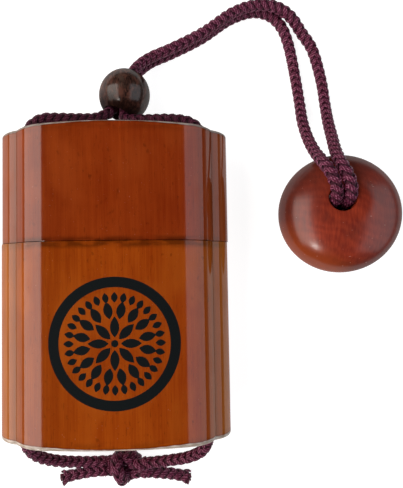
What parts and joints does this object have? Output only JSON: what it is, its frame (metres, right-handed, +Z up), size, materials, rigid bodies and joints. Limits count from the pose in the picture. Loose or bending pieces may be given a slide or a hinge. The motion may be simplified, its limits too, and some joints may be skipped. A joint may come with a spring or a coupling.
{
  "type": "inro case",
  "caption": "Small two-part lacquered wooden case with cord runners, a slip-on lid, a bead, a round netsuke toggle and a braided cord, lying on its back.",
  "frame": {"origin": "centre of the flat on the case's back, on the surface that it lies on", "axes": "+Z up out of the case's painted face, +Y along the case towards its lid and the bead, +X to the right, towards the netsuke"},
  "size_m": [0.112, 0.1448, 0.025],
  "materials": {
    "body_lacquer": "glossy clear lacquer over orange-brown wood with fine straight grain",
    "lid_lacquer": "glossy lacquer over red-brown wood with fine straight grain",
    "bead_wood": "polished dark brown wood with reddish streaks",
    "netsuke_wood": "semi-gloss polished red-brown wood with faint grain",
    "cord_braid": "plum braided silk-like cord"
  },
  "bodies": {
    "root": {"case_body": "body_lacquer", "case_lid": "lid_lacquer", "ojime_bead": "bead_wood", "netsuke": "netsuke_wood", "cord_left": "cord_braid", "cord_right": "cord_braid", "cord_end_left": "cord_braid", "cord_end_right": "cord_braid", "cord_bottom_knot": "cord_braid", "cord_stopper_knot": "cord_braid"}
  },
  "joints": []
}
